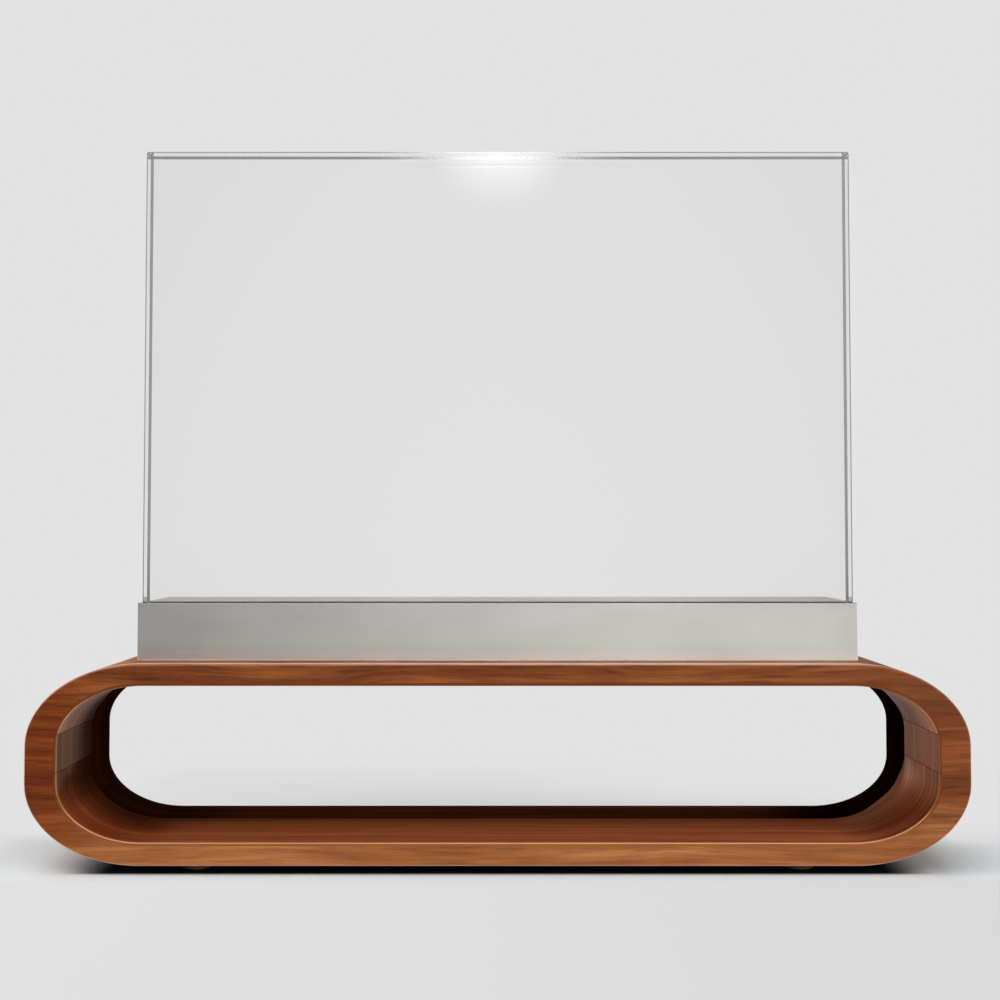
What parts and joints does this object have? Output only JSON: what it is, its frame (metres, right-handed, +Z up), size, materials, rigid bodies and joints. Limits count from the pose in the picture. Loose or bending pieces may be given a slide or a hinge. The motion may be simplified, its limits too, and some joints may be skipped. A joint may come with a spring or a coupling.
{
  "type": "photo album stand",
  "caption": "Rounded walnut loop open front to back as an album shelf, on small disc feet, with a slotted metal plinth on top holding an upright clear glass panel.",
  "frame": {"origin": "on the surface the stand rests on, under the middle of the loop", "axes": "+X along the length of the loop, +Y from the front to the back, so the front faces -Y, +Z up"},
  "size_m": [0.3, 0.0486, 0.2346],
  "materials": {
    "walnut": "satin oiled walnut, grain along the length",
    "dowel_wood": "plain beech dowel",
    "walnut_lining": "satin lacquered walnut lining, grain round the loop",
    "dark_lining": "satin ebonised wood",
    "foot_wood": "satin turned walnut",
    "screw_steel": "zinc plated steel",
    "pad_rubber": "matte brown rubber",
    "satin_metal": "fine bead-blasted satin, warm grey",
    "underlay_film": "thin matte black bonding film",
    "gasket_rubber": "matte charcoal seal",
    "clear_glass": "polished clear glass with polished edges"
  },
  "bodies": {
    "stand": {"loop_front_ring": "walnut", "loop_middle_ring": "walnut", "loop_rear_ring": "walnut", "loop_dowels": "dowel_wood", "liner_lower_wrap": "walnut_lining", "liner_upper_wrap": "walnut_lining", "liner_left_panel": "walnut_lining", "liner_right_panel": "walnut_lining", "rear_band_lower": "dark_lining", "rear_band_upper": "dark_lining", "foot_front_left": "foot_wood", "foot_front_right": "foot_wood", "foot_rear_left": "foot_wood", "foot_rear_right": "foot_wood", "foot_screws": "screw_steel", "foot_pads": "pad_rubber", "plinth_bar": "satin_metal", "plinth_underlay": "underlay_film", "plinth_screws": "screw_steel", "slot_gasket": "gasket_rubber"},
    "glass": {"glass_panel": "clear_glass"}
  },
  "joints": [
    {"name": "glass_lift", "type": "slide", "parent": "stand", "child": "glass", "axis": [0, 0, 1], "range_m": [0, 0.04]}
  ]
}
